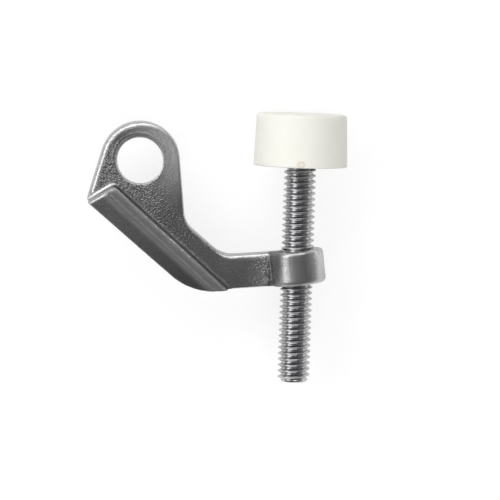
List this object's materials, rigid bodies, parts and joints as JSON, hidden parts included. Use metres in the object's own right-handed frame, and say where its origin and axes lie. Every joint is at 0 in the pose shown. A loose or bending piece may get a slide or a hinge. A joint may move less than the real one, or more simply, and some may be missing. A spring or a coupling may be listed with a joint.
{
  "type": "hinge pin door stop",
  "caption": "Door stop that hangs on a door's hinge pin: a cast arm with an eye and a foot bar, and a soft bumper on an adjusting screw.",
  "frame": {"origin": "middle of the eye that the door's hinge pin passes through, on the arm's underside", "axes": "+Z along the hinge pin's axis, upwards in use; +Y along the adjusting screw, towards the bumper; +X from the eye to the screw"},
  "size_m": [0.0621, 0.0645, 0.0225],
  "materials": {
    "cast_metal": "satin nickel plating on a die casting",
    "screw_steel": "bright zinc plating",
    "bumper_rubber": "smooth ivory moulding with a soft sheen"
  },
  "bodies": {
    "arm": {"arm_casting": "cast_metal"},
    "bumper": {"bumper_cap": "bumper_rubber"},
    "screw": {"adjusting_screw": "screw_steel"}
  },
  "joints": [
    {"name": "bumper_travel", "type": "slide", "parent": "arm", "child": "bumper", "axis": [0, 1, 0], "range_m": [-0.0183, 0.0218]},
    {"name": "screw_turn", "type": "hinge", "parent": "bumper", "child": "screw", "pos_m": [0.0384, 0, 0.0024], "axis": [0, 1, 0], "range_deg": [-4680, 5580]}
  ],
  "couplings": [
    {"joint": "screw_turn", "follows": "bumper_travel", "rad_per_m": 4452.6}
  ]
}
